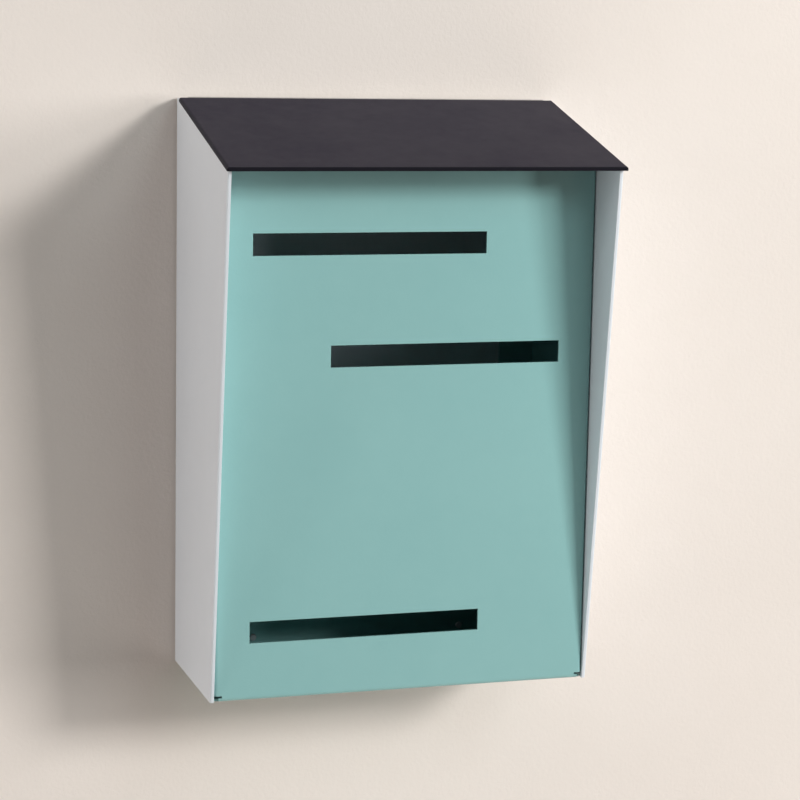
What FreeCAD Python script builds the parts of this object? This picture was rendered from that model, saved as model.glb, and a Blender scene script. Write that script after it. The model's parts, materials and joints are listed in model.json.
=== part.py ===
import FreeCAD, Part
import math
import os
import Sketcher
from FreeCAD import Placement, Rotation, Vector

# The post box hangs on a wall. The origin is on the wall, in the middle of the four mounting holes:
# +Z is up, the front faces -Y and +X is to the right of somebody who looks at the front.
# Heights below are measured from the body's bottom edge; each body is then hung at its height.

# Driving sizes in millimetres, angles in degrees

SIZES = {
    "box_width": 300.0,
    "box_height": 443.0,
    "bottom_depth": 128.0,
    "top_depth": 173.0,
    "panel": 3.0,
    "bend_inside": 1.5,
    "edge_round": 1.5,
    "edge_soft": 0.3,
    "lid_angle": 14.84,
    "lid_plate": 3.0,
    "lid_length": 166.0,
    "lid_overhang": 1.5,
    "lid_side_round": 2.0,
    "lid_front_round": 0.6,
    "seat_gap": 0.3,
    "pin_radius": 1.0,
    "pin_clearance": 0.05,
    "leaf": 0.8,
    "hinge_back": 15.4,
    "hinge_drop": 0.5,
    "hinge_side_gap": 3.0,
    "knuckle_gap": 0.3,
    "lid_leaf_width": 14.0,
    "lid_back_gap": 0.35,
    "step_gap": 0.8,
    "ledge_short": 1.4,
    "bend_relief": 1.0,
    "tray_sheet": 1.5,
    "tray_recess": 0.5,
    "top_return": 15.0,
    "rear_upturn": 30.0,
    "rear_return": 30.0,
    "corner_gap": 0.5,
    "notch_width": 3.5,
    "notch_height": 4.5,
    "relief_length": 2.5,
    "relief_height": 1.6,
    "slot_width": 180.0,
    "slot_height": 16.5,
    "slot_shift": 30.0,
    "slot_low": 52.0,
    "slot_middle": 258.4,
    "slot_high": 341.9,
    "drain": 6.0,
    "drain_inset": 47.0,
    "drain_from_wall": 70.0,
    "mount_hole": 6.5,
    "mount_across": 200.0,
    "mount_up": 320.0,
    "mount_low": 60.0,
    "stud": 4.0,
    "stud_hole": 4.4,
    "stud_head": 6.0,
    "stud_head_depth": 1.6,
    "stud_head_fit": 0.05,
    "washer_width": 9.0,
    "washer_thick": 0.8,
    "nut_flats": 7.0,
    "nut_height": 3.2,
    "stud_proud": 1.2,
    "thread_gap": 0.05,
    "side_stud_low": 70.0,
    "side_stud_pitch": 135.0,
    "side_stud_back": 12.0,
    "lid_stud_inset": 12.0,
    "lid_stud_reach": 9.0,
    "rivet": 3.0,
    "rivet_hole": 3.2,
    "rivet_head": 5.0,
    "rivet_head_height": 0.9,
    "rivet_inset": 12.0,
    "tray_rivet": 3.6,
    "tray_rivet_hole": 3.8,
    "tray_rivet_head": 5.8,
    "tray_rivet_dome": 1.1,
    "tray_rivet_flush": 6.0,
    "tray_rivet_fit": 0.1,
    "upturn_rivet_inset": 60.0,
    "return_rivet_low": 110.0,
    "return_rivet_pitch": 220.0,
    "bumper": 3.5,
    "bumper_base": 0.5,
    "bumper_inset": 37.0,
    "floor_side_gap": 0.5,
    "joint_lap": 0.5,
    "pin_proud": 0.5,
    "cut_margin": 1.0,
}

KNUCKLES = 21


class Size:
    """A number together with the sheet expression that gives it."""

    def __init__(self, value, text):
        self.value = value
        self.text = text

    def join(self, other, sign, result):
        other = as_size(other)
        return Size(result(self.value, other.value), f"({self.text} {sign} {other.text})")

    def __add__(self, other):
        return self.join(other, "+", lambda a, b: a + b)

    def __sub__(self, other):
        return self.join(other, "-", lambda a, b: a - b)

    def __mul__(self, other):
        return self.join(other, "*", lambda a, b: a * b)

    def __truediv__(self, other):
        return self.join(other, "/", lambda a, b: a / b)

    def __radd__(self, other):
        return as_size(other) + self

    def __rsub__(self, other):
        return as_size(other) - self

    def __rmul__(self, other):
        return as_size(other) * self

    def __neg__(self):
        return Size(-self.value, f"(-1 * {self.text})")


def as_size(number):
    if isinstance(number, Size):
        return number
    return Size(float(number), f"{float(number):.6g}")


def cosine(angle):
    return Size(math.cos(math.radians(angle.value)), f"cos({angle.text} * 1deg)")


def tangent(angle):
    return Size(math.tan(math.radians(angle.value)), f"tan({angle.text} * 1deg)")


doc = FreeCAD.newDocument("post_box")
sheet = doc.addObject("Spreadsheet::Sheet", "sizes")
for row, (alias, number) in enumerate(SIZES.items(), start=1):
    sheet.set(f"A{row}", alias)
    sheet.set(f"B{row}", f"{number:g}")
    sheet.setAlias(f"B{row}", alias)
doc.recompute()


def size(alias):
    return Size(SIZES[alias], f"sizes.{alias}")


# Bodies, sketches and features

def new_body(label):
    body = doc.addObject("PartDesign::Body", label)
    body.Label = label
    body.AllowCompound = True
    return body


def new_sketch(body, name, role, height=0.0):
    sketch = body.newObject("Sketcher::SketchObject", name)
    plane = [item for item in body.Origin.OriginFeatures if item.Role == role][0]
    sketch.AttachmentSupport = [(plane, "")]
    sketch.MapMode = "FlatFace"
    height = as_size(height)
    sketch.AttachmentOffset = Placement(Vector(0, 0, height.value), Rotation())
    sketch.setExpression("AttachmentOffset.Base.z", height.text)
    return sketch


def pin_point(sketch, shape, end, point):
    """Holds one point of the sketch at its two distances from the origin."""
    for kind, coordinate, axis in (("DistanceX", point[0], -2), ("DistanceY", point[1], -1)):
        if not isinstance(coordinate, Size) and coordinate == 0:
            sketch.addConstraint(Sketcher.Constraint("PointOnObject", shape, end, axis))
            continue
        coordinate = as_size(coordinate)
        index = sketch.addConstraint(Sketcher.Constraint(kind, -1, 1, shape, end, coordinate.value))
        sketch.setExpression(f"Constraints[{index}]", coordinate.text)


def flat(point):
    return Vector(as_size(point[0]).value, as_size(point[1]).value, 0)


def outline(sketch, points):
    """A closed polygon with every corner held by the sheet."""
    first = None
    count = len(points)
    for i in range(count):
        line = Part.LineSegment(flat(points[i]), flat(points[(i + 1) % count]))
        shape = sketch.addGeometry(line, False)
        if first is None:
            first = shape
    for i in range(count):
        sketch.addConstraint(Sketcher.Constraint("Coincident", first + i, 2, first + (i + 1) % count, 1))
    for i in range(count):
        pin_point(sketch, first + i, 1, points[i])


def toward(start, end):
    """Unit step from one corner to the next; the two lie along one axis."""
    across = as_size(end[0]).value - as_size(start[0]).value
    along_second = as_size(end[1]).value - as_size(start[1]).value
    if abs(across) > abs(along_second):
        return (math.copysign(1, across), 0.0)
    return (0.0, math.copysign(1, along_second))


def stepped(point, step, distance):
    """The point moved by a distance along an axis."""
    if distance == 0:
        return point
    first = as_size(point[0]) + distance * step[0] if step[0] else point[0]
    second = as_size(point[1]) + distance * step[1] if step[1] else point[1]
    return (first, second)


def bent_outline(sketch, corners):
    """A closed outline of lines along the two axes; each corner is (x, y, radius of its bend)."""
    count = len(corners)
    bends = []
    for i in range(count):
        arriving = toward(corners[i - 1], corners[i])
        leaving = toward(corners[i], corners[(i + 1) % count])
        radius = corners[i][2]
        point = corners[i][:2]
        before = stepped(point, arriving, -radius)
        after = stepped(point, leaving, radius)
        bends.append((before, after, arriving, leaving, radius))
    lines = []
    for i in range(count):
        start = bends[i][1]
        end = bends[(i + 1) % count][0]
        lines.append(sketch.addGeometry(Part.LineSegment(flat(start), flat(end)), False))
    for i in range(count):
        before, after, arriving, leaving, radius = bends[i]
        pin_point(sketch, lines[i], 1, after)
        if radius == 0:
            sketch.addConstraint(Sketcher.Constraint("Coincident", lines[i - 1], 2, lines[i], 1))
            continue
        pin_point(sketch, lines[i - 1], 2, before)
        add_bend(sketch, bends[i], lines[i - 1], lines[i])


def add_bend(sketch, bend, line_before, line_after):
    before, after, arriving, leaving, radius = bend
    reach = radius.value
    centre = flat(after) - Vector(arriving[0], arriving[1], 0) * reach
    left_turn = arriving[0] * leaving[1] - arriving[1] * leaving[0] > 0
    start, end = (flat(before), flat(after)) if left_turn else (flat(after), flat(before))
    ring = Part.Circle(centre, Vector(0, 0, 1), reach)
    first = math.atan2(start.y - centre.y, start.x - centre.x)
    last = math.atan2(end.y - centre.y, end.x - centre.x)
    arc = sketch.addGeometry(Part.ArcOfCircle(ring, first, last), False)
    sketch.addConstraint(Sketcher.Constraint("Coincident", arc, 1 if left_turn else 2, line_before, 2))
    sketch.addConstraint(Sketcher.Constraint("Coincident", arc, 2 if left_turn else 1, line_after, 1))
    index = sketch.addConstraint(Sketcher.Constraint("Radius", arc, reach))
    sketch.setExpression(f"Constraints[{index}]", radius.text)


def rectangle(sketch, left, right, low, high):
    outline(sketch, [(left, low), (right, low), (right, high), (left, high)])


def circle(sketch, centre, radius):
    radius = as_size(radius)
    shape = sketch.addGeometry(Part.Circle(flat(centre), Vector(0, 0, 1), radius.value), False)
    pin_point(sketch, shape, 3, centre)
    index = sketch.addConstraint(Sketcher.Constraint("Radius", shape, radius.value))
    sketch.setExpression(f"Constraints[{index}]", radius.text)


def pad(body, sketch, length, both_ways=False, backwards=False, taper=0):
    feature = body.newObject("PartDesign::Pad", sketch.Name + "_pad")
    feature.Profile = sketch
    feature.SideType = "Symmetric" if both_ways else "One side"
    feature.Reversed = backwards
    feature.setExpression("Length", as_size(length).text)
    feature.TaperAngle = taper
    sketch.Visibility = False
    doc.recompute()
    return feature


def pocket(body, sketch, length=None, both_ways=False, backwards=False, taper=0):
    """Cuts the sketch out of the body; with no length it runs right through."""
    before = body.Shape.Volume
    feature = body.newObject("PartDesign::Pocket", sketch.Name + "_cut")
    feature.Profile = sketch
    feature.SideType = "Symmetric" if both_ways else "One side"
    feature.Reversed = backwards
    if length is None:
        feature.Type = "ThroughAll"
    else:
        feature.setExpression("Length", as_size(length).text)
    feature.TaperAngle = taper
    sketch.Visibility = False
    doc.recompute()
    if not feature.Shape.Volume < before - 0.01:
        raise RuntimeError(f"{feature.Name} cuts nothing")
    return feature


def row(body, features, direction, spacing, count):
    """Repeats features along one of the body's origin axes."""
    pattern = body.newObject("PartDesign::LinearPattern", features[0].Name + "_row")
    pattern.Originals = features
    axis = [item for item in body.Origin.OriginFeatures if item.Role == direction][0]
    pattern.Direction = (axis, [""])
    pattern.Mode = "Spacing"
    pattern.setExpression("Offset", as_size(spacing).text)
    pattern.Occurrences = count
    body.Tip = pattern
    doc.recompute()
    return pattern


def round_edges(body, radius, wanted, expected):
    """Rounds the edges that pass the test on their two ends; their number is known."""
    base = body.Tip
    names = []
    for index, edge in enumerate(base.Shape.Edges, start=1):
        ends = [vertex.Point for vertex in edge.Vertexes]
        if wanted(ends[0], ends[-1]):
            names.append(f"Edge{index}")
    if len(names) != expected:
        raise RuntimeError(f"{body.Label}: {len(names)} edges to round, not {expected}")
    feature = body.newObject("PartDesign::Fillet", f"{base.Name}_round")
    feature.Base = (base, names)
    feature.setExpression("Radius", as_size(radius).text)
    doc.recompute()
    return feature


def near(number, wanted):
    return abs(number - as_size(wanted).value) < 1e-3


def place(body, y, height, turn=None):
    """Puts a body's own frame at its place before the wall, turned about X where asked."""
    z = height - size("mount_low") - size("mount_up") / 2
    y = as_size(y)
    angle = turn.value if turn else 0.0
    body.Placement = Placement(Vector(0, y.value, z.value), Rotation(Vector(1, 0, 0), angle))
    body.setExpression("Placement.Base.y", y.text)
    body.setExpression("Placement.Base.z", z.text)
    if turn:
        body.setExpression("Placement.Rotation.Angle", f"{turn.text} * 1deg")


def discs(body, name, role, start, length, centres, radius):
    """Round pads of one radius; a length below zero runs against the plane's normal."""
    length = as_size(length)
    sketch = new_sketch(body, name, role, start)
    for centre in centres:
        circle(sketch, centre, radius)
    if length.value < 0:
        return pad(body, sketch, -length, backwards=True)
    return pad(body, sketch, length)


def rings(body, name, role, start, length, centres, outer, inner):
    """Round pads with a hole."""
    length = as_size(length)
    sketch = new_sketch(body, name, role, start)
    for centre in centres:
        circle(sketch, centre, outer)
        circle(sketch, centre, inner)
    if length.value < 0:
        return pad(body, sketch, -length, backwards=True)
    return pad(body, sketch, length)


def hexagons(body, name, role, start, length, centres, flats, bore):
    """Hexagonal pads with a bore, such as nuts."""
    length = as_size(length)
    sketch = new_sketch(body, name, role, start)
    corner = flats / math.sqrt(3)
    for across, up in centres:
        corners = []
        for step in range(6):
            turn = math.radians(60 * step)
            corners.append((across + corner * math.cos(turn), up + corner * math.sin(turn)))
        outline(sketch, corners)
        circle(sketch, (across, up), bore)
    if length.value < 0:
        return pad(body, sketch, -length, backwards=True)
    return pad(body, sketch, length)


def along(length, count):
    """Evenly spaced places over a length that has its middle at zero, from end to end."""
    return [length * (step / (count - 1) - 0.5) for step in range(count)]


# Sizes that follow from the sheet

half = size("box_width") / 2
panel = size("panel")
slope = size("lid_angle")
gap = size("seat_gap")
margin = size("cut_margin")
inside = half - panel
bend_outside = size("bend_inside") + panel
knuckle_bore = size("pin_radius") + size("pin_clearance")
knuckle_outer = knuckle_bore + size("leaf")
hinge_y = -size("hinge_back")
hinge_z = size("box_height") - size("hinge_drop")
hinge_length = (inside - size("hinge_side_gap")) * 2
pitch = hinge_length / KNUCKLES
lid_back = knuckle_outer + size("lid_back_gap")
ledge_top = hinge_z - knuckle_outer
ledge_front = hinge_y + size("ledge_short")
ledge_half = inside - size("bend_inside") - size("bend_relief")
step_y = hinge_y - size("step_gap")
leaf_clear = knuckle_outer + size("lid_back_gap")
body_leaf_end = size("hinge_back") - bend_outside - size("seat_gap")
rivet_y = body_leaf_end / 2 + leaf_clear / 2


def under_lid(y):
    """Height of the lid's underside over a distance y from the wall."""
    return hinge_z - knuckle_bore / cosine(slope) + (y - hinge_y) * tangent(slope)


def side_top(y):
    """Height of the side panels' sloped top edge."""
    return under_lid(y) - gap / cosine(slope)


side_front_top = side_top(-size("top_depth"))
tray_front = -(size("bottom_depth") - size("tray_recess"))
tray_half = inside - gap
tray_rear = -(panel + gap)
sheet_t = size("tray_sheet")
sheet_bend = sheet_t + size("bend_inside")
bumper_y = tray_front + size("top_return") / 2
tray_top = under_lid(bumper_y) - (size("bumper") + gap) / cosine(slope) - size("bumper_base")
side_stud_y = tray_front + size("side_stud_back")
side_stud_heights = [size("side_stud_low") + size("side_stud_pitch") * step for step in range(3)]
return_edge = tray_half - size("rear_return")
return_middle = tray_half - size("rear_return") / 2
upturn_rivets = [(across, size("rear_upturn") / 2)
                 for across in along((inside - size("upturn_rivet_inset")) * 2, 2)]
return_rivets = [(return_middle * side, size("return_rivet_low") + size("return_rivet_pitch") * step)
                 for side in (-1, 1) for step in range(2)]
tray_rivets = upturn_rivets + return_rivets
flush_radius = size("tray_rivet_flush") / 2
flush_depth = flush_radius - size("tray_rivet") / 2
lid_stud_places = along(hinge_length - size("lid_stud_inset") * 2, 5)
rivet_places = along(hinge_length - size("rivet_inset") * 2, 5)
head_radius = size("stud_head") / 2
head_pocket = head_radius + size("stud_head_fit")
stud_radius = size("stud") / 2
washer_radius = size("washer_width") / 2
hole_radius = size("stud_hole") / 2
nut_bore = stud_radius + size("thread_gap")
stack = size("washer_thick") + size("nut_height") + size("stud_proud")


# Body shell

def make_body_shell():
    body = new_body("body_shell")
    deep = -size("top_depth")
    plan = new_sketch(body, "shell_plan", "XY_Plane")
    bend = size("bend_inside")
    bent_outline(plan, [
        (half, 0, bend_outside), (-half, 0, bend_outside), (-half, deep, 0), (-inside, deep, 0),
        (-inside, -panel, bend), (inside, -panel, bend), (inside, deep, 0), (half, deep, 0),
    ])
    pad(body, plan, size("box_height"))
    trim_sides(body)
    add_ledge(body)
    cut_shell_holes(body)
    front = -size("bottom_depth")
    round_edges(body, size("edge_round"), lambda a, b: is_front_edge(a, b, half, front, deep), 2)
    round_edges(body, size("edge_soft"), lambda a, b: is_front_edge(a, b, inside, front, deep), 2)
    place(body, 0, as_size(0))
    return body


def is_front_edge(a, b, distance, front, deep):
    low, high = (a, b) if a.z < b.z else (b, a)
    if not near(low.z, 0) or not near(low.y, front) or not near(high.y, deep):
        return False
    return near(abs(a.x), distance) and near(a.x, b.x)


def trim_sides(body):
    """Cuts the side panels to their slanted front, sloped top and flat corner by the wall."""
    beyond = -(size("top_depth") + margin)
    above = size("box_height") + margin
    side = new_sketch(body, "side_trim", "YZ_Plane")
    outline(side, [
        (-size("bottom_depth"), 0), (-size("top_depth"), side_front_top), (step_y, side_top(step_y)),
        (step_y, above), (beyond, above), (beyond, -margin), (-size("bottom_depth"), -margin),
    ])
    pocket(body, side, both_ways=True)


def add_ledge(body):
    """Shortens the back panel and folds its top forward into the hinge's ledge."""
    low = ledge_top - bend_outside - margin
    top = new_sketch(body, "back_top", "XY_Plane", low)
    rectangle(top, -ledge_half, ledge_half, -(panel + margin), margin)
    pocket(body, top, size("box_height") - low + margin, backwards=True)
    ledge = new_sketch(body, "ledge_side", "YZ_Plane")
    bend = size("bend_inside")
    bent_outline(ledge, [
        (0, low - margin, 0), (0, ledge_top, bend_outside), (ledge_front, ledge_top, 0),
        (ledge_front, ledge_top - panel, 0), (-panel, ledge_top - panel, bend), (-panel, low - margin, 0),
    ])
    pad(body, ledge, (ledge_half - size("bend_relief")) * 2, both_ways=True)


def cut_shell_holes(body):
    mounts = new_sketch(body, "mount_holes", "XZ_Plane", -margin)
    for across in along(size("mount_across"), 2):
        for up in (size("mount_low"), size("mount_low") + size("mount_up")):
            circle(mounts, (across, up), size("mount_hole") / 2)
    pocket(body, mounts, panel + margin * 2, backwards=True)
    cut_rivet_seats(body)
    for side, name in ((1, "right_head_seats"), (-1, "left_head_seats")):
        seats = new_sketch(body, name, "YZ_Plane", inside * side)
        for up in side_stud_heights:
            circle(seats, (side_stud_y, up), head_pocket)
        pocket(body, seats, size("stud_head_depth"), backwards=side > 0)
    rivets = new_sketch(body, "ledge_rivet_holes", "XY_Plane", ledge_top + margin)
    for across in rivet_places:
        circle(rivets, (across, hinge_y + rivet_y), size("rivet_hole") / 2)
    pocket(body, rivets, panel + margin * 2)


def cut_rivet_seats(body):
    """Holes through the back panel, countersunk from the wall, for the rivets that hold the tray."""
    holes = new_sketch(body, "tray_rivet_holes", "XZ_Plane", -margin)
    sinks = new_sketch(body, "tray_rivet_sinks", "XZ_Plane")
    for place_on_back in tray_rivets:
        circle(holes, place_on_back, size("tray_rivet_hole") / 2)
        circle(sinks, place_on_back, flush_radius + size("tray_rivet_fit"))
    pocket(body, holes, panel + margin * 2, backwards=True)
    pocket(body, sinks, flush_depth, backwards=True, taper=-45)


# Front tray

def make_front_tray():
    """One sheet: front, floor and sides, folded in again where it meets the back panel."""
    body = new_body("front_tray")
    rear = tray_rear
    front = tray_front
    top = tray_top
    upturn = size("rear_upturn")
    back_of_top = front + size("top_return")
    wide = tray_half - size("notch_width")
    profile = new_sketch(body, "tray_profile", "YZ_Plane")
    bend = size("bend_inside")
    bent_outline(profile, [
        (front, 0, sheet_bend), (rear, 0, sheet_bend), (rear, upturn, 0), (rear - sheet_t, upturn, 0),
        (rear - sheet_t, sheet_t, bend), (front + sheet_t, sheet_t, bend),
        (front + sheet_t, top - sheet_t, bend), (back_of_top, top - sheet_t, 0),
        (back_of_top, top, 0), (front, top, sheet_bend),
    ])
    pad(body, profile, wide * 2, both_ways=True)
    add_tray_sides(body, top)
    add_floor_sides(body, wide)
    cut_tray_openings(body, wide)
    place(body, 0, as_size(0))
    return body


def add_tray_sides(body, top):
    """Side walls as deep as the box; above the floor's upturn they return along the back panel."""
    inner = tray_half - sheet_t
    bend = size("bend_inside")
    ahead = tray_front + sheet_t
    behind = tray_rear - sheet_t
    straight = tray_rear - sheet_bend
    notch = size("notch_height")
    turned = size("rear_upturn") + size("corner_gap")
    low = new_sketch(body, "low_sides", "XY_Plane", notch)
    bent_outline(low, [
        (-tray_half, tray_front, sheet_bend), (tray_half, tray_front, sheet_bend), (tray_half, straight, 0),
        (inner, straight, 0), (inner, ahead, bend), (-inner, ahead, bend),
        (-inner, straight, 0), (-tray_half, straight, 0),
    ])
    pad(body, low, turned - notch)
    high = new_sketch(body, "high_sides", "XY_Plane", turned)
    bent_outline(high, [
        (-tray_half, tray_front, sheet_bend), (tray_half, tray_front, sheet_bend),
        (tray_half, tray_rear, sheet_bend), (return_edge, tray_rear, 0),
        (return_edge, behind, 0), (inner, behind, bend), (inner, ahead, bend), (-inner, ahead, bend),
        (-inner, behind, bend), (-return_edge, behind, 0),
        (-return_edge, tray_rear, 0), (-tray_half, tray_rear, sheet_bend),
    ])
    pad(body, high, top - notch - turned)
    add_side_skirts(body, inner, straight)


def add_side_skirts(body, inner, straight):
    """Behind the corner notches the side walls reach down to the floor."""
    seam = sheet_t + size("corner_gap")
    notch = size("notch_height")
    skirt = new_sketch(body, "side_skirts", "XY_Plane", seam)
    front = tray_front + notch + sheet_bend
    rectangle(skirt, inner, tray_half, front, straight)
    rectangle(skirt, -tray_half, -inner, front, straight)
    pad(body, skirt, notch + size("joint_lap") - seam)


def add_floor_sides(body, wide):
    """Widens the floor to the side panels, clear of the corner notches."""
    edge = tray_half - size("floor_side_gap")
    plan = new_sketch(body, "floor_sides", "XY_Plane")
    front = tray_front + sheet_bend + size("corner_gap")
    rear = tray_rear - sheet_bend - margin
    lap = wide - size("joint_lap")
    rectangle(plan, lap, edge, front, rear)
    rectangle(plan, -edge, -lap, front, rear)
    pad(body, plan, sheet_t)


def cut_tray_openings(body, wide):
    ahead = -tray_front + margin
    slots = new_sketch(body, "letter_slots", "XZ_Plane", ahead)
    reach = size("slot_width") / 2
    rise = size("slot_height") / 2
    shift = size("slot_shift")
    for middle, height in ((-shift, "slot_low"), (shift, "slot_middle"), (-shift, "slot_high")):
        rectangle(slots, middle - reach, middle + reach, size(height) - rise, size(height) + rise)
    pocket(body, slots, sheet_t + margin * 2)
    slits = new_sketch(body, "bend_reliefs", "XZ_Plane", ahead)
    low = size("notch_height") - size("relief_height")
    inner = wide - size("relief_length")
    outer = wide + size("joint_lap")
    rectangle(slits, inner, outer, low, size("notch_height"))
    rectangle(slits, -outer, -inner, low, size("notch_height"))
    pocket(body, slits, sheet_bend + margin)
    drains = new_sketch(body, "drain_holes", "XY_Plane", sheet_t + margin)
    for across in along((inside - size("drain_inset")) * 2, 2):
        circle(drains, (across, -size("drain_from_wall")), size("drain") / 2)
    pocket(body, drains, sheet_t + margin * 2)
    sides = new_sketch(body, "flange_holes", "YZ_Plane")
    for up in side_stud_heights:
        circle(sides, (side_stud_y, up), hole_radius)
    pocket(body, sides, both_ways=True)
    rear = new_sketch(body, "rear_holes", "XZ_Plane", -tray_rear + sheet_t + margin)
    for place_on_back in tray_rivets:
        circle(rear, place_on_back, size("tray_rivet_hole") / 2)
    pocket(body, rear, sheet_t + margin * 2)


# Lid

def make_lid():
    """The lid is modelled flat, with the hinge's axis as its X axis, and laid on its slope."""
    body = new_body("lid")
    wide = half + size("lid_overhang")
    low = -knuckle_bore
    high = low + size("lid_plate")
    section = new_sketch(body, "lid_section", "XZ_Plane", lid_back)
    rectangle(section, -wide, wide, low, high)
    pad(body, section, size("lid_length"))
    front = -(lid_back + size("lid_length"))
    round_edges(body, size("lid_side_round"), lambda a, b: near(abs(a.x), wide) and near(a.x, b.x)
                and near(a.z, high) and near(b.z, high), 2)
    round_edges(body, size("lid_front_round"), lambda a, b: near(a.y, front) and near(b.y, front)
                and near(a.z, high) and near(b.z, high) and not near(a.x, b.x), 1)
    seats = new_sketch(body, "lid_head_seats", "XY_Plane", low)
    for across in lid_stud_places:
        circle(seats, (across, -size("lid_stud_reach")), head_pocket)
    pocket(body, seats, size("stud_head_depth"), backwards=True)
    place(body, hinge_y, hinge_z, slope)
    return body


# Hinge

def add_knuckles(body, start, count, toward_wall):
    """Rolled knuckles of one leaf, each with the tongue that joins it to the leaf."""
    first = -(hinge_length / 2) + pitch * start + size("knuckle_gap") / 2
    width = pitch - size("knuckle_gap")
    barrel = discs(body, body.Label + "_barrel", "YZ_Plane", first, width, [(0, 0)], knuckle_outer)
    tongue_sketch = new_sketch(body, body.Label + "_tongue", "YZ_Plane", first)
    reach = leaf_clear + size("joint_lap")
    if toward_wall:
        rectangle(tongue_sketch, 0, reach, -knuckle_outer, -knuckle_bore)
    else:
        rectangle(tongue_sketch, -reach, 0, -knuckle_outer, -knuckle_bore)
    tongue = pad(body, tongue_sketch, width)
    row(body, [barrel, tongue], "X_Axis", pitch * 2, count)
    bore = new_sketch(body, body.Label + "_bore", "YZ_Plane")
    circle(bore, (0, 0), knuckle_bore)
    pocket(body, bore, both_ways=True)


def make_body_leaf():
    body = new_body("hinge_body_leaf")
    strip = new_sketch(body, "body_strip", "XY_Plane", -knuckle_outer)
    rectangle(strip, -(hinge_length / 2), hinge_length / 2, leaf_clear, body_leaf_end)
    pad(body, strip, size("leaf"))
    add_knuckles(body, 0, KNUCKLES // 2 + 1, True)
    holes = new_sketch(body, "body_leaf_holes", "XY_Plane")
    for across in rivet_places:
        circle(holes, (across, rivet_y), size("rivet_hole") / 2)
    pocket(body, holes, knuckle_outer + margin)
    place(body, hinge_y, hinge_z)
    return body


def make_lid_leaf():
    body = new_body("hinge_lid_leaf")
    strip = new_sketch(body, "lid_strip", "XY_Plane", -knuckle_outer)
    rectangle(strip, -(hinge_length / 2), hinge_length / 2, -size("lid_leaf_width"), -leaf_clear)
    pad(body, strip, size("leaf"))
    add_knuckles(body, 1, KNUCKLES // 2, False)
    holes = new_sketch(body, "lid_leaf_holes", "XY_Plane")
    for across in lid_stud_places:
        circle(holes, (across, -size("lid_stud_reach")), hole_radius)
    pocket(body, holes, knuckle_outer + margin)
    place(body, hinge_y, hinge_z, slope)
    return body


def make_hinge_pin():
    body = new_body("hinge_pin")
    wire = new_sketch(body, "pin_section", "YZ_Plane")
    circle(wire, (0, 0), size("pin_radius"))
    pad(body, wire, hinge_length + size("pin_proud") * 2, both_ways=True)
    place(body, hinge_y, hinge_z)
    return body


def make_hinge_rivets():
    """Five rivets through the body leaf and the ledge, a head on each side."""
    body = new_body("hinge_rivets")
    places = [(across, rivet_y) for across in rivet_places]
    top = -knuckle_bore
    below = -knuckle_outer - panel
    height = size("rivet_head_height")
    discs(body, "rivet_heads", "XY_Plane", top, height, places, size("rivet_head") / 2)
    round_edges(body, height * 0.8, lambda a, b: near(a.z, top + height), 5)
    discs(body, "rivet_shanks", "XY_Plane", top, below - top, places, size("rivet") / 2)
    discs(body, "rivet_tails", "XY_Plane", below, -height, places, size("rivet_head") / 2)
    place(body, hinge_y, hinge_z)
    return body


# Studs, washers and nuts

def make_side_fasteners():
    places = [(side_stud_y, up) for up in side_stud_heights]
    studs = new_body("side_studs")
    washers = new_body("side_washers")
    nuts = new_body("side_nuts")
    face = tray_half - sheet_t
    under_nut = face - size("washer_thick")
    depth = size("stud_head_depth")
    thin = size("washer_thick")
    tall = size("nut_height")
    for side, name in ((1, "right"), (-1, "left")):
        wall = inside * side
        shaft = (face - stack - inside) * side
        discs(studs, name + "_heads", "YZ_Plane", wall, depth * side, places, head_radius)
        discs(studs, name + "_shafts", "YZ_Plane", wall, shaft, places, stud_radius)
        rings(washers, name + "_rings", "YZ_Plane", face * side, -(thin * side), places,
              washer_radius, hole_radius)
        hexagons(nuts, name + "_hexagons", "YZ_Plane", under_nut * side, -(tall * side), places,
                 size("nut_flats"), nut_bore)
    bodies = [studs, washers, nuts]
    for body in bodies:
        place(body, 0, as_size(0))
    return bodies


def make_tray_rivets():
    """Rivets flush with the wall side of the back panel, with their domes inside the tray."""
    body = new_body("tray_rivets")
    inner_face = -tray_rear + sheet_t
    flush = new_sketch(body, "flush_heads", "XZ_Plane")
    for place_on_back in tray_rivets:
        circle(flush, place_on_back, flush_radius)
    pad(body, flush, flush_depth, taper=-45)
    discs(body, "tray_rivet_shanks", "XZ_Plane", 0.0, inner_face, tray_rivets, size("tray_rivet") / 2)
    dome = size("tray_rivet_dome")
    discs(body, "tray_rivet_domes", "XZ_Plane", inner_face, dome, tray_rivets, size("tray_rivet_head") / 2)
    outer = -(inner_face + dome)
    round_edges(body, dome * 0.8, lambda a, b: near(a.y, outer), 6)
    place(body, 0, as_size(0))
    return body


def make_lid_fasteners():
    """The studs stand down from the lid through its leaf; they turn with the lid."""
    places = [(across, -size("lid_stud_reach")) for across in lid_stud_places]
    studs = new_body("lid_studs")
    washers = new_body("lid_washers")
    nuts = new_body("lid_nuts")
    top = -knuckle_bore
    face = -knuckle_outer
    thin = size("washer_thick")
    discs(studs, "lid_heads", "XY_Plane", top, size("stud_head_depth"), places, head_radius)
    discs(studs, "lid_shafts", "XY_Plane", top, face - stack - top, places, stud_radius)
    rings(washers, "lid_rings", "XY_Plane", face, -thin, places, washer_radius, hole_radius)
    hexagons(nuts, "lid_hexagons", "XY_Plane", face - thin, -size("nut_height"), places,
             size("nut_flats"), nut_bore)
    bodies = [studs, washers, nuts]
    for body in bodies:
        place(body, hinge_y, hinge_z, slope)
    return bodies


# Buffers

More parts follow.
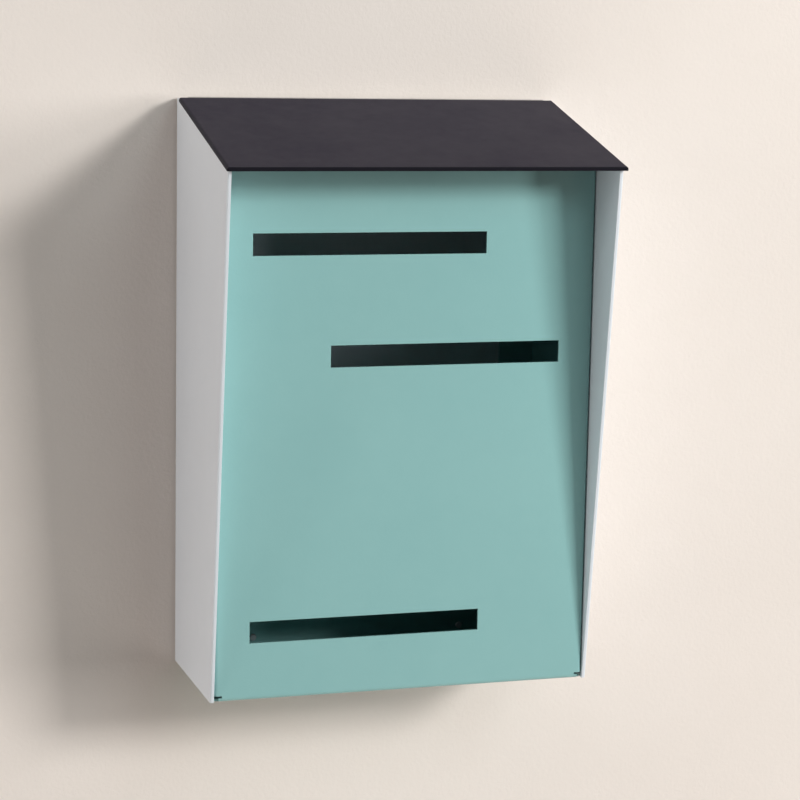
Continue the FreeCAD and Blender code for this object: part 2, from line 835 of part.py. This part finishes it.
def make_lid_bumpers():
    body = new_body("lid_bumpers")
    places = [(across, 0) for across in along((inside - size("bumper_inset")) * 2, 2)]
    height = size("bumper_base") + size("bumper")
    discs(body, "bumper_discs", "XY_Plane", 0, height, places, size("bumper"))
    round_edges(body, size("bumper") * 0.98, lambda a, b: near(a.z, height), 2)
    place(body, bumper_y, tray_top)
    return body


bodies = [make_body_shell(), make_front_tray(), make_lid(), make_body_leaf(), make_lid_leaf()]
bodies += [make_hinge_pin(), make_hinge_rivets()]
bodies += make_side_fasteners()
bodies.append(make_tray_rivets())
bodies += make_lid_fasteners()
bodies.append(make_lid_bumpers())
doc.recompute()

for item in doc.Objects:
    if "Invalid" in item.State or "Error" in item.State:
        raise RuntimeError(f"{item.Name} failed: {item.State}")
for body in bodies:
    if body.Shape.isNull() or not body.Shape.isValid():
        raise RuntimeError(f"{body.Label} has no sound shape")

os.makedirs("parts", exist_ok=True)
for body in bodies:
    body.Shape.exportStep(f"parts/{body.Label}.step")
    box = body.Shape.BoundBox
    print(body.Label, len(body.Shape.Solids), "solids", round(body.Shape.Volume, 1), "mm3",
          [round(v, 2) for v in (box.XMin, box.XMax, box.YMin, box.YMax, box.ZMin, box.ZMax)])
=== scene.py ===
import json
import math

import bpy
from mathutils import Matrix, Vector


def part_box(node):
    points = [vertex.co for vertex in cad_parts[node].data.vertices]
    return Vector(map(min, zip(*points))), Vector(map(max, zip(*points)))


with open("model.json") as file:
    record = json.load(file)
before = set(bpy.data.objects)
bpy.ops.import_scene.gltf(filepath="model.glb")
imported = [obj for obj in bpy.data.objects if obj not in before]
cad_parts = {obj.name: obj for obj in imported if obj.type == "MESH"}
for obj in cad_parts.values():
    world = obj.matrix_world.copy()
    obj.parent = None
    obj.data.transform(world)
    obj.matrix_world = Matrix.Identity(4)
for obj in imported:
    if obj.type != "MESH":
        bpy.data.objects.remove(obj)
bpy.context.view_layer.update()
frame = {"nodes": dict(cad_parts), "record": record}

# A wall mounted post box of folded sheet metal on a pale plaster wall, seen from the left and a
# little above. Every piece of the box is its CAD solid, which gets its finish here. The wall, the
# floor, the lamps and the camera are set around it. Lengths are in metres, colours are linear.

# Wall and floor

WALL_GAP = 0.0006  # from the back panel to the wall's face
WALL_INSET = 0.005  # how far the wall comes in behind the back panel's edges
WALL_REACH = 3.2  # how far it goes on past them
FLOOR_DROP = 3.0
SPOT_CORNERS = 24
MM_PER_M = 1000

# Camera, as fitted to the photograph's edges

CAMERA_PLACE = Vector((-0.5358, -1.80519, 0.28584))
CAMERA_TURN = math.radians(17.53)
CAMERA_TILT = math.radians(9.09)
CAMERA_ROLL = math.radians(-1.07)
CAMERA_LENS = 107.19
CAMERA_SENSOR = 36.0

# Colours of the finishes: the main tone, the tone it drifts to, and the tone along the edges

SHELL_GREY = (0.725, 0.765, 0.815)
SHELL_DEEP = (0.705, 0.74, 0.785)
SHELL_EDGE = (0.78, 0.78, 0.78)
TEAL = (0.280, 0.512, 0.503)
TEAL_DEEP = (0.262, 0.490, 0.484)
TEAL_EDGE = (0.30, 0.52, 0.50)
CHARCOAL = (0.0105, 0.0098, 0.0140)
CHARCOAL_DEEP = (0.0093, 0.0087, 0.0124)
# Paler charcoal along the lid's rounded edges: partly thinner powder, partly a painted highlight
# for the light those edges catch
CHARCOAL_THIN_EDGE_HIGHLIGHT = (0.030, 0.028, 0.033)
CHARCOAL_SHEEN = (0.3, 0.2, 1.0)
STEEL = (0.56, 0.55, 0.54)
STEEL_DEEP = (0.47, 0.465, 0.46)
ZINC = (0.60, 0.62, 0.64)
ZINC_DEEP = (0.50, 0.52, 0.55)
ZINC_EDGE = (0.72, 0.73, 0.74)
RUBBER = (0.025, 0.025, 0.027)
RUBBER_PALE = (0.04, 0.04, 0.042)
PLASTER = (0.865, 0.79, 0.735)
PLASTER_DEEP = (0.84, 0.76, 0.70)

# Colours around the box

FLOOR_LOOK = (0.2, 0.19, 0.175)
BACKDROP = (0.66, 0.635, 0.6)
ROOM_LIGHT = (0.97, 0.98, 1.0)
ROOM_LIGHT_STRENGTH = 0.03

# What the effects are made of; noise is counted in features per metre

NOISE_LOW, NOISE_HIGH = 0.3, 0.7  # noise mostly stays between these
FINE_PER_SWELL = 3.1
PANEL_CLOUD = 9.0
CLOUDS_WITHIN_CLOUD = 9.0
CLOUD_SHARE, INNER_CLOUD_SHARE = 0.75, 0.25
FILM_WIDTH = 0.0008
FILM_SAMPLES = 4
FILM_START, FILM_FULL = 0.02, 0.25  # how far the rounded normal leans from the face's own
FILM_BREAKS = 260.0
FILM_LEAST = 0.35
FILM_DULLING = 0.12
PATCHES, PATCH_SHARE = 14.0, 0.6
SMEARS, SMEAR_SHARE = 95.0, 0.4
ROLLING_LINES = 4200.0
ROLLING_STRETCH = (0.03, 1.0, 1.0)
RUBBED_WIDTH = 0.0003
RUBBED_SHARE = 0.5
PLASTER_ROUGHNESS = 0.9

# Soft boxes: name, azimuth and elevation in degrees, width, height, power in watts, colour.
# Azimuth 0 is straight ahead of the box and 90 is to its right.

LAMP_AIM = Vector((0.0, -0.09, 0.0))
LAMP_REACH = 4.5
LAMPS = (
    ("key_box", 39, 18.5, 1.2, 0.87, 124.0, (1.0, 1.0, 0.98)),
    ("high_box", 18, 31, 1.55, 1.55, 31.0, (0.87, 0.98, 1.0)),
    ("side_box", 51, 4, 0.6, 1.38, 66.0, (1.0, 0.99, 0.98)),
    ("fill_box", -90, -9, 1.04, 1.8, 62.0, (1.0, 0.97, 0.945)),
    ("rim_box", -78, 4, 0.52, 2.77, 38.0, (1.0, 0.98, 0.96)),
    ("rear_box", 180, 10, 2.1, 2.1, 90.0, (1.0, 1.0, 1.0)),
)


# Node helpers

def with_alpha(colour):
    return (*colour, 1.0)


def feed(tree, socket, value):
    """Sets a socket to a plain value, or links it to the output that is given."""
    if isinstance(value, bpy.types.NodeSocket):
        tree.links.new(value, socket)
    else:
        socket.default_value = value


def math_node(tree, kind, first, second):
    node = tree.nodes.new("ShaderNodeMath")
    node.operation = kind
    feed(tree, node.inputs[0], first)
    feed(tree, node.inputs[1], second)
    return node.outputs[0]


def noise(tree, vector, scale, detail, roughness=0.5):
    node = tree.nodes.new("ShaderNodeTexNoise")
    feed(tree, node.inputs["Vector"], vector)
    feed(tree, node.inputs["Scale"], scale)
    feed(tree, node.inputs["Detail"], detail)
    feed(tree, node.inputs["Roughness"], roughness)
    return node.outputs["Fac"]


def blend(tree, first, first_share, second, second_share):
    """Adds two values up by their shares."""
    return math_node(tree, "ADD", math_node(tree, "MULTIPLY", first, first_share),
                     math_node(tree, "MULTIPLY", second, second_share))


def spread(tree, value, low, high, start=NOISE_LOW, end=NOISE_HIGH):
    """Takes a value that runs from start to end to the range from low to high."""
    node = tree.nodes.new("ShaderNodeMapRange")
    feed(tree, node.inputs["Value"], value)
    feed(tree, node.inputs["From Min"], start)
    feed(tree, node.inputs["From Max"], end)
    feed(tree, node.inputs["To Min"], low)
    feed(tree, node.inputs["To Max"], high)
    return node.outputs["Result"]


def mixed(tree, factor, first, second):
    """Blends the first colour towards the second."""
    mix = tree.nodes.new("ShaderNodeMix")
    mix.data_type = "RGBA"
    feed(tree, mix.inputs["Factor"], factor)
    feed(tree, mix.inputs["A"], first)
    feed(tree, mix.inputs["B"], second)
    return mix.outputs["Result"]


def object_place(tree):
    return tree.nodes.new("ShaderNodeTexCoord").outputs["Object"]


# Effects that the finishes share, each a group with one output

def new_group(name, inputs, output):
    """An empty group; its inputs and its output are given as (name, kind)."""
    group = bpy.data.node_groups.new(name, "ShaderNodeTree")
    for label, kind in inputs:
        group.interface.new_socket(label, in_out="INPUT", socket_type=kind)
    group.interface.new_socket(output[0], in_out="OUTPUT", socket_type=output[1])
    return group, group.nodes.new("NodeGroupInput"), group.nodes.new("NodeGroupOutput")


def make_spray_grain():
    """Orange peel of sprayed powder: shallow swells a millimetre or two wide, and a finer grain."""
    group, given, result = new_group(
        "spray_grain",
        [("Swell", "NodeSocketFloat"), ("Fine Share", "NodeSocketFloat")],
        ("Height", "NodeSocketFloat"))
    place = object_place(group)
    swell = noise(group, place, given.outputs["Swell"], detail=1.0)
    finer = math_node(group, "MULTIPLY", given.outputs["Swell"], FINE_PER_SWELL)
    grain = noise(group, place, finer, detail=2.0)
    share = math_node(group, "MULTIPLY", grain, given.outputs["Fine Share"])
    feed(group, result.inputs["Height"], math_node(group, "ADD", swell, share))
    return group


def make_tone_drift():
    """A finish's colour drifts a little over a panel, slowly and then in finer clouds."""
    group, given, result = new_group(
        "tone_drift",
        [("Colour", "NodeSocketColor"), ("Other", "NodeSocketColor"), ("Cloud", "NodeSocketFloat")],
        ("Colour", "NodeSocketColor"))
    place = object_place(group)
    slow = noise(group, place, given.outputs["Cloud"], detail=2.0)
    finer = math_node(group, "MULTIPLY", given.outputs["Cloud"], CLOUDS_WITHIN_CLOUD)
    quick = noise(group, place, finer, detail=3.0)
    both = blend(group, slow, CLOUD_SHARE, quick, INNER_CLOUD_SHARE)
    cloudy = spread(group, both, 0.0, 1.0)
    tone = mixed(group, cloudy, given.outputs["Colour"], given.outputs["Other"])
    feed(group, result.inputs["Colour"], tone)
    return group


def make_edge_film():
    """Finds the cut and folded edges, where powder lies thin and, on the lid, where a painted
    highlight goes; a narrow mask broken up by noise.
    """
    group, given, result = new_group(
        "edge_film", [("Width", "NodeSocketFloat")], ("Mask", "NodeSocketFloat"))
    rounded = group.nodes.new("ShaderNodeBevel")
    rounded.samples = FILM_SAMPLES
    feed(group, rounded.inputs["Radius"], given.outputs["Width"])
    flat = group.nodes.new("ShaderNodeNewGeometry")
    alike = group.nodes.new("ShaderNodeVectorMath")
    alike.operation = "DOT_PRODUCT"
    feed(group, alike.inputs[0], rounded.outputs["Normal"])
    feed(group, alike.inputs[1], flat.outputs["Normal"])
    lean = math_node(group, "SUBTRACT", 1.0, alike.outputs["Value"])
    film = spread(group, lean, 0.0, 1.0, start=FILM_START, end=FILM_FULL)
    breaks = noise(group, object_place(group), FILM_BREAKS, detail=3.0)
    broken = spread(group, breaks, FILM_LEAST, 1.0)
    feed(group, result.inputs["Mask"], math_node(group, "MULTIPLY", film, broken))
    return group


def make_handling():
    """Faint smears and wiped patches that change the gloss but not the colour."""
    group, given, result = new_group(
        "handling",
        [("Gloss", "NodeSocketFloat"), ("Drift", "NodeSocketFloat")],
        ("Roughness", "NodeSocketFloat"))
    place = object_place(group)
    patches = noise(group, place, PATCHES, detail=3.0, roughness=0.6)
    smears = noise(group, place, SMEARS, detail=4.0, roughness=0.6)
    both = blend(group, patches, PATCH_SHARE, smears, SMEAR_SHARE)
    low = math_node(group, "SUBTRACT", given.outputs["Gloss"], given.outputs["Drift"])
    high = math_node(group, "ADD", given.outputs["Gloss"], given.outputs["Drift"])
    feed(group, result.inputs["Roughness"], spread(group, both, low, high))
    return group


SPRAY_GRAIN = make_spray_grain()
TONE_DRIFT = make_tone_drift()
EDGE_FILM = make_edge_film()
HANDLING = make_handling()


def use_group(tree, group, **values):
    """Places an effect with its own values and gives its output."""
    node = tree.nodes.new("ShaderNodeGroup")
    node.node_tree = group
    for label, value in values.items():
        node.inputs[label.replace("_", " ")].default_value = value
    return node.outputs[0]


def toned(tree, colour, other, cloud):
    return use_group(
        tree, TONE_DRIFT, Colour=with_alpha(colour), Other=with_alpha(other), Cloud=cloud)


def relief(tree, shader, height, depth):
    bump = tree.nodes.new("ShaderNodeBump")
    feed(tree, bump.inputs["Distance"], depth)
    feed(tree, bump.inputs["Height"], height)
    feed(tree, shader.inputs["Normal"], bump.outputs["Normal"])


# Finishes

def new_finish(name):
    material = bpy.data.materials.new(name)
    material.use_nodes = True
    tree = material.node_tree
    return material, tree, tree.nodes["Principled BSDF"]


def powder_coat(name, colour, other, edge, edge_share, gloss, drift, swell, fine, depth, specular):
    """Powder sprayed and baked on sheet metal, thinner and duller along the edges; on the lid the
    paler edge tone is also a painted highlight.
    """
    material, tree, shader = new_finish(name)
    edge_film_and_highlight = math_node(tree, "MULTIPLY", use_group(tree, EDGE_FILM, Width=FILM_WIDTH), edge_share)
    tone = toned(tree, colour, other, PANEL_CLOUD)
    # The edge tone is thinner powder; on the lid it is also a painted highlight
    feed(tree, shader.inputs["Base Color"], mixed(tree, edge_film_and_highlight, tone, with_alpha(edge)))
    wiped = use_group(tree, HANDLING, Gloss=gloss, Drift=drift)
    duller = math_node(tree, "MULTIPLY", edge_film_and_highlight, FILM_DULLING)
    feed(tree, shader.inputs["Roughness"], math_node(tree, "ADD", wiped, duller))
    shader.inputs["Specular IOR Level"].default_value = specular
    relief(tree, shader, use_group(tree, SPRAY_GRAIN, Swell=swell, Fine_Share=fine), depth)
    return material


def charcoal_powder(name):
    """The lid's matt powder, with a faint cool sheen where it is seen at a low angle, and a paler
    tone along its rounded edges that is partly thinner powder and partly a painted highlight.
    """
    # The paler edge tone is partly thinner powder and partly a painted highlight
    material = powder_coat(
        name, CHARCOAL, CHARCOAL_DEEP, CHARCOAL_THIN_EDGE_HIGHLIGHT, edge_share=0.5, gloss=0.42, drift=0.05,
        swell=760.0, fine=0.5, depth=0.00005, specular=0.06)
    shader = material.node_tree.nodes["Principled BSDF"]
    shader.inputs["Sheen Weight"].default_value = 0.033
    shader.inputs["Sheen Tint"].default_value = with_alpha(CHARCOAL_SHEEN)
    return material


def brushed_steel(name):
    """Plain stainless strip with fine rolling lines along its length."""
    material, tree, shader = new_finish(name)
    shader.inputs["Metallic"].default_value = 1.0
    feed(tree, shader.inputs["Base Color"], toned(tree, STEEL, STEEL_DEEP, cloud=30.0))
    feed(tree, shader.inputs["Roughness"], use_group(tree, HANDLING, Gloss=0.34, Drift=0.08))
    stretch = tree.nodes.new("ShaderNodeMapping")
    stretch.inputs["Scale"].default_value = ROLLING_STRETCH
    feed(tree, stretch.inputs["Vector"], object_place(tree))
    lines = noise(tree, stretch.outputs["Vector"], ROLLING_LINES, detail=2.0)
    relief(tree, shader, lines, depth=0.00001)
    return material


def zinc_plate(name):
    """Bright zinc on small turned parts, clouded by its passivation and rubbed at the edges."""
    material, tree, shader = new_finish(name)
    shader.inputs["Metallic"].default_value = 1.0
    edges = use_group(tree, EDGE_FILM, Width=RUBBED_WIDTH)
    rubbed = math_node(tree, "MULTIPLY", edges, RUBBED_SHARE)
    tone = toned(tree, ZINC, ZINC_DEEP, cloud=160.0)
    feed(tree, shader.inputs["Base Color"], mixed(tree, rubbed, tone, with_alpha(ZINC_EDGE)))
    feed(tree, shader.inputs["Roughness"], use_group(tree, HANDLING, Gloss=0.36, Drift=0.1))
    pits = use_group(tree, SPRAY_GRAIN, Swell=2600.0, Fine_Share=0.5)
    relief(tree, shader, pits, depth=0.00002)
    return material


def matt_rubber(name):
    material, tree, shader = new_finish(name)
    feed(tree, shader.inputs["Base Color"], toned(tree, RUBBER, RUBBER_PALE, cloud=200.0))
    feed(tree, shader.inputs["Roughness"], use_group(tree, HANDLING, Gloss=0.72, Drift=0.08))
    grain = use_group(tree, SPRAY_GRAIN, Swell=3000.0, Fine_Share=0.8)
    relief(tree, shader, grain, depth=0.00004)
    return material


shell_paint = powder_coat(
    "shell_paint", SHELL_GREY, SHELL_DEEP, SHELL_EDGE, edge_share=0.35, gloss=0.36, drift=0.05,
    swell=560.0, fine=0.25, depth=0.00005, specular=0.5)
tray_paint = powder_coat(
    "tray_paint", TEAL, TEAL_DEEP, TEAL_EDGE, edge_share=0.3, gloss=0.17, drift=0.035,
    swell=420.0, fine=0.12, depth=0.00004, specular=0.3)
hinge_steel = brushed_steel("hinge_steel")
fastener_zinc = zinc_plate("fastener_zinc")

# The nodes that aren't named here are the rivets, studs, washers and nuts

FINISHES = {
    "body_shell": shell_paint,
    "front_tray": tray_paint,
    "lid": charcoal_powder("lid_paint"),
    "hinge_body_leaf": hinge_steel,
    "hinge_lid_leaf": hinge_steel,
    "hinge_pin": hinge_steel,
    "lid_bumpers": matt_rubber("buffer_rubber"),
}


def dress(piece, material):
    for slot in piece.material_slots:
        slot.material = material
    if not piece.material_slots:
        piece.data.materials.append(material)


for node, piece in frame["nodes"].items():
    dress(piece, FINISHES.get(node, fastener_zinc))


# Surfaces around the box

def choose_shader(tree, factor, first, second, output):
    """Puts out the first shader where the factor is 0 and the second where it is 1."""
    choose = tree.nodes.new("ShaderNodeMixShader")
    for socket, value in zip(choose.inputs, (factor, first, second)):
        feed(tree, socket, value)
    feed(tree, tree.nodes[output].inputs["Surface"], choose.outputs["Shader"])


def looked_at(tree):
    """1 for what the camera sees, straight or by way of gloss or glass, and 0 otherwise."""
    ray = tree.nodes.new("ShaderNodeLightPath")
    indirect = math_node(
        tree, "MAXIMUM", ray.outputs["Is Glossy Ray"], ray.outputs["Is Transmission Ray"])
    return math_node(tree, "MAXIMUM", ray.outputs["Is Camera Ray"], indirect)


def wall_plaster(name):
    """Pale plaster that is only there from its front, so that the box's back can be looked at."""
    material, tree, shader = new_finish(name)
    feed(tree, shader.inputs["Base Color"], toned(tree, PLASTER, PLASTER_DEEP, cloud=2.5))
    shader.inputs["Roughness"].default_value = PLASTER_ROUGHNESS
    shader.inputs["Specular IOR Level"].default_value = 0.1
    grain = use_group(tree, SPRAY_GRAIN, Swell=300.0, Fine_Share=0.6)
    relief(tree, shader, grain, depth=0.0002)
    clear = tree.nodes.new("ShaderNodeBsdfTransparent").outputs["BSDF"]
    behind = tree.nodes.new("ShaderNodeNewGeometry").outputs["Backfacing"]
    choose_shader(tree, behind, shader.outputs["BSDF"], clear, "Material Output")
    return material


def pale_floor(name):
    """Pale to the eye, though the lamps hardly reach down to it; what falls on it still shows."""
    material, tree, shader = new_finish(name)
    shader.inputs["Base Color"].default_value = with_alpha(PLASTER)
    shader.inputs["Roughness"].default_value = PLASTER_ROUGHNESS
    pale = tree.nodes.new("ShaderNodeEmission")
    pale.inputs["Color"].default_value = with_alpha(FLOOR_LOOK)
    feed(tree, pale.inputs["Strength"], looked_at(tree))
    both = tree.nodes.new("ShaderNodeAddShader")
    feed(tree, both.inputs[0], shader.outputs["BSDF"])
    feed(tree, both.inputs[1], pale.outputs["Emission"])
    feed(tree, tree.nodes["Material Output"].inputs["Surface"], both.outputs["Shader"])
    return material


def start_mesh(name, operator, **values):
    """Adds a primitive with nothing else selected."""
    bpy.ops.object.select_all(action="DESELECT")
    operator(**values)
    bpy.context.object.name = name
    return bpy.context.object


def stand_on_wall(piece, x, z):
    """Turns a piece that was drawn flat to face the room, with its middle at x and z."""
    upright = Matrix.Rotation(math.radians(90), 4, "X")
    piece.data.transform(Matrix.Translation((x, WALL_GAP, z)) @ upright)


def make_wall():
    """The wall stops short behind the box, where only the back panel would see it."""
    low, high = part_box("body_shell")
    width = high.x - low.x - 2 * WALL_INSET
    height = high.z - low.z - 2 * WALL_INSET
    wall = start_mesh("wall", bpy.ops.mesh.primitive_plane_add, size=1.0)
    bpy.ops.object.mode_set(mode="EDIT")
    bpy.ops.mesh.select_all(action="SELECT")
    bpy.ops.transform.resize(value=(width + 2 * WALL_REACH, height + 2 * WALL_REACH, 1))
    bpy.ops.mesh.inset(thickness=WALL_REACH)
    bpy.ops.mesh.delete(type="FACE")
    bpy.ops.object.mode_set(mode="OBJECT")
    stand_on_wall(wall, 0, (low.z + high.z) / 2)
    return wall


def make_wall_spots():
    """The wall as it is seen through the mounting holes, where the wall itself is left out."""
    pattern = next(
        mount["dims"] for mount in frame["record"]["mounts"] if mount["name"] == "wall_bolts")
    across = pattern["spacing_x_mm"] / 2 / MM_PER_M
    up = pattern["spacing_y_mm"] / 2 / MM_PER_M
    spots = []
    for x, z in ((-across, -up), (across, -up), (-across, up), (across, up)):
        spot = start_mesh(
            "wall_spot", bpy.ops.mesh.primitive_circle_add, vertices=SPOT_CORNERS, fill_type="NGON",
            radius=pattern["hole_r_mm"] / MM_PER_M + WALL_GAP)
        stand_on_wall(spot, x, z)
        spots.append(spot)
    return spots


def make_floor():
    floor = start_mesh("floor", bpy.ops.mesh.primitive_plane_add, size=2 * WALL_REACH)
    floor.data.transform(Matrix.Translation((0, WALL_GAP - WALL_REACH, -FLOOR_DROP)))
    return floor


plaster = wall_plaster("plaster_paint")
for surface in (make_wall(), *make_wall_spots()):
    surface.data.materials.append(plaster)
make_floor().data.materials.append(pale_floor("floor_paint"))


# Light

def soft_lamp(name, azimuth, elevation, width, height, power, colour):
    data = bpy.data.lights.new(name, "AREA")
    data.shape = "RECTANGLE"
    data.size = width
    data.size_y = height
    data.energy = power
    data.color = colour
    lamp = bpy.data.objects.new(name, data)
    turn = math.radians(azimuth)
    rise = math.radians(elevation)
    out = Vector((math.sin(turn) * math.cos(rise), -math.cos(turn) * math.cos(rise),
                  math.sin(rise)))
    lamp.location = LAMP_AIM + out * LAMP_REACH
    lamp.rotation_euler = (-out).to_track_quat("-Z", "Y").to_euler()
    bpy.context.scene.collection.objects.link(lamp)


def make_world():
    """A pale backdrop to look at, which gives the box only a little light of its own."""
    world = bpy.data.worlds.new("studio")
    world.use_nodes = True
    bpy.context.scene.world = world
    tree = world.node_tree
    room = tree.nodes["Background"]
    room.inputs["Color"].default_value = with_alpha(ROOM_LIGHT)
    room.inputs["Strength"].default_value = ROOM_LIGHT_STRENGTH
    seen = tree.nodes.new("ShaderNodeBackground")
    seen.inputs["Color"].default_value = with_alpha(BACKDROP)
    seen.inputs["Strength"].default_value = 1.0
    choose_shader(tree, looked_at(tree), room.outputs["Background"], seen.outputs["Background"],
                  "World Output")


for lamp in LAMPS:
    soft_lamp(*lamp)
make_world()


# Camera

def make_camera():
    """Stands where the photograph was taken, and leans as the photograph does."""
    ahead = Vector((math.sin(CAMERA_TURN) * math.cos(CAMERA_TILT),
                    math.cos(CAMERA_TURN) * math.cos(CAMERA_TILT), -math.sin(CAMERA_TILT)))
    level = Vector((math.cos(CAMERA_TURN), -math.sin(CAMERA_TURN), 0.0))
    down = ahead.cross(level)
    right = level * math.cos(CAMERA_ROLL) + down * math.sin(CAMERA_ROLL)
    below = down * math.cos(CAMERA_ROLL) - level * math.sin(CAMERA_ROLL)
    data = bpy.data.cameras.new("camera")
    data.lens = CAMERA_LENS
    data.sensor_width = CAMERA_SENSOR
    camera = bpy.data.objects.new("camera", data)
    axes = Matrix((right, -below, -ahead)).transposed()
    camera.matrix_world = Matrix.Translation(CAMERA_PLACE) @ axes.to_4x4()
    bpy.context.scene.collection.objects.link(camera)
    bpy.context.scene.camera = camera


make_camera()
bpy.context.scene.view_settings.view_transform = "Standard"
